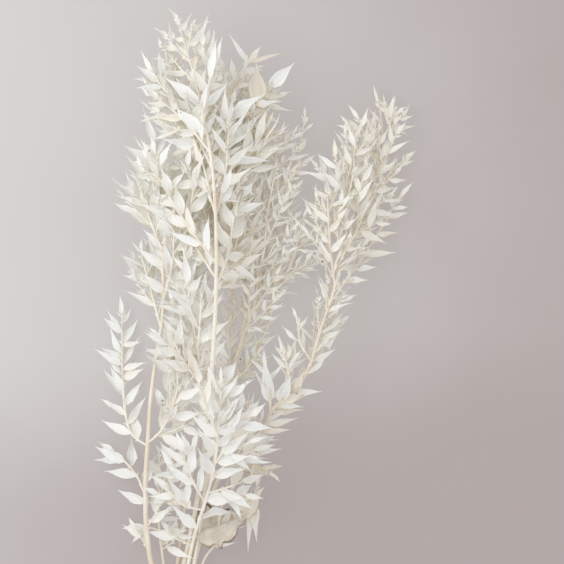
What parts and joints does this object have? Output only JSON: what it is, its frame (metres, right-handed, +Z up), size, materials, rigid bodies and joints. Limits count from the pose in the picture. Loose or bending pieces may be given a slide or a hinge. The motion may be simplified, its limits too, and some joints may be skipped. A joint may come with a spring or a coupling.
{
  "type": "bleached italian fern bunch",
  "caption": "Fanned bunch of bleached dried italian fern (ruscus) stems with pointed leaves, tied near the cut ends and lying flat.",
  "frame": {"origin": "on the surface that the bunch lies on, below the middle of its length and width", "axes": "+Y from the cut ends to the leaf tips, +X to the right as seen from above, +Z up from the surface"},
  "size_m": [0.3985, 0.7873, 0.1196],
  "materials": {
    "bleached_leaf": "matte",
    "bleached_stem": "matte",
    "natural_twine": "matte"
  },
  "bodies": {
    "root": {"stem_tall_centre": "bleached_leaf", "stem_left": "bleached_leaf", "stem_back_centre": "bleached_leaf", "stem_right": "bleached_leaf", "stem_front": "bleached_leaf", "stem_front_left": "bleached_leaf", "stem_back_top": "bleached_leaf", "stem_low_left": "bleached_leaf", "stem_low_right": "bleached_leaf", "twine_tie": "natural_twine"}
  },
  "joints": []
}
